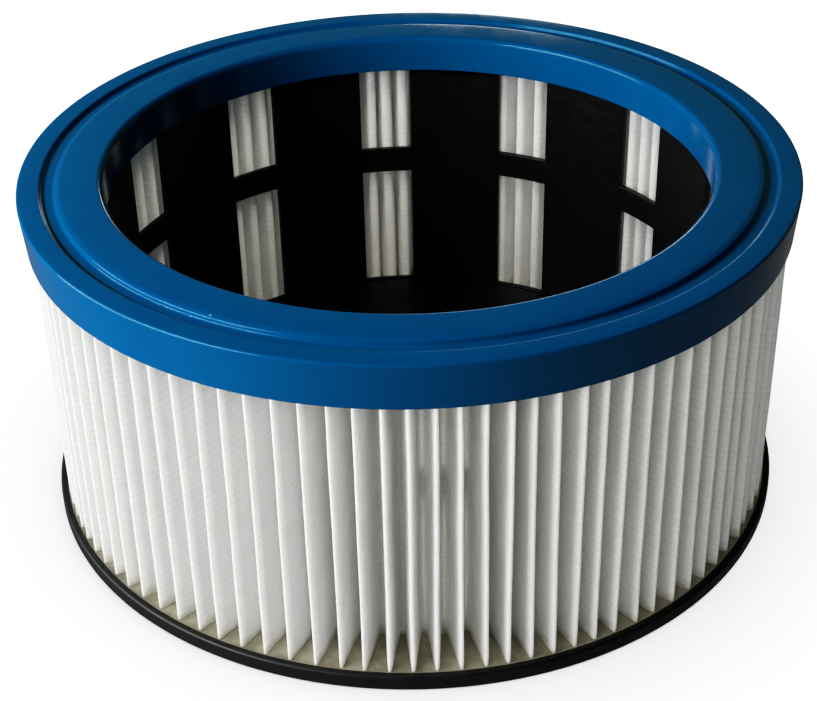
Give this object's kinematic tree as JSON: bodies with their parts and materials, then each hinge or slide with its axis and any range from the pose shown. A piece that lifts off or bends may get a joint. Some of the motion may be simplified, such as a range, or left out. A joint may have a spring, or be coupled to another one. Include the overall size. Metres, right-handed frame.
{
  "type": "vacuum cleaner filter",
  "caption": "Round pleated cartridge filter: folded white fleece between a blue sealing ring and a black closed base, with a windowed cage inside.",
  "frame": {"origin": "centre of the base plate's underside", "axes": "+Z along the cartridge's axis, from the closed base to the open mouth; a column of the cage's windows faces +Y and another +X"},
  "size_m": [0.185, 0.185, 0.0855],
  "materials": {
    "seal_blue": "satin cast polyurethane",
    "fleece_white": "matt bonded polyester fleece",
    "cage_black": "moulded, satin",
    "base_black": "moulded, satin",
    "potting_cream": "cast, dull"
  },
  "bodies": {
    "root": {"top_ring": "seal_blue", "pleated_media": "fleece_white", "inner_cage": "cage_black", "base_plate": "base_black", "bottom_potting": "potting_cream"}
  },
  "joints": []
}
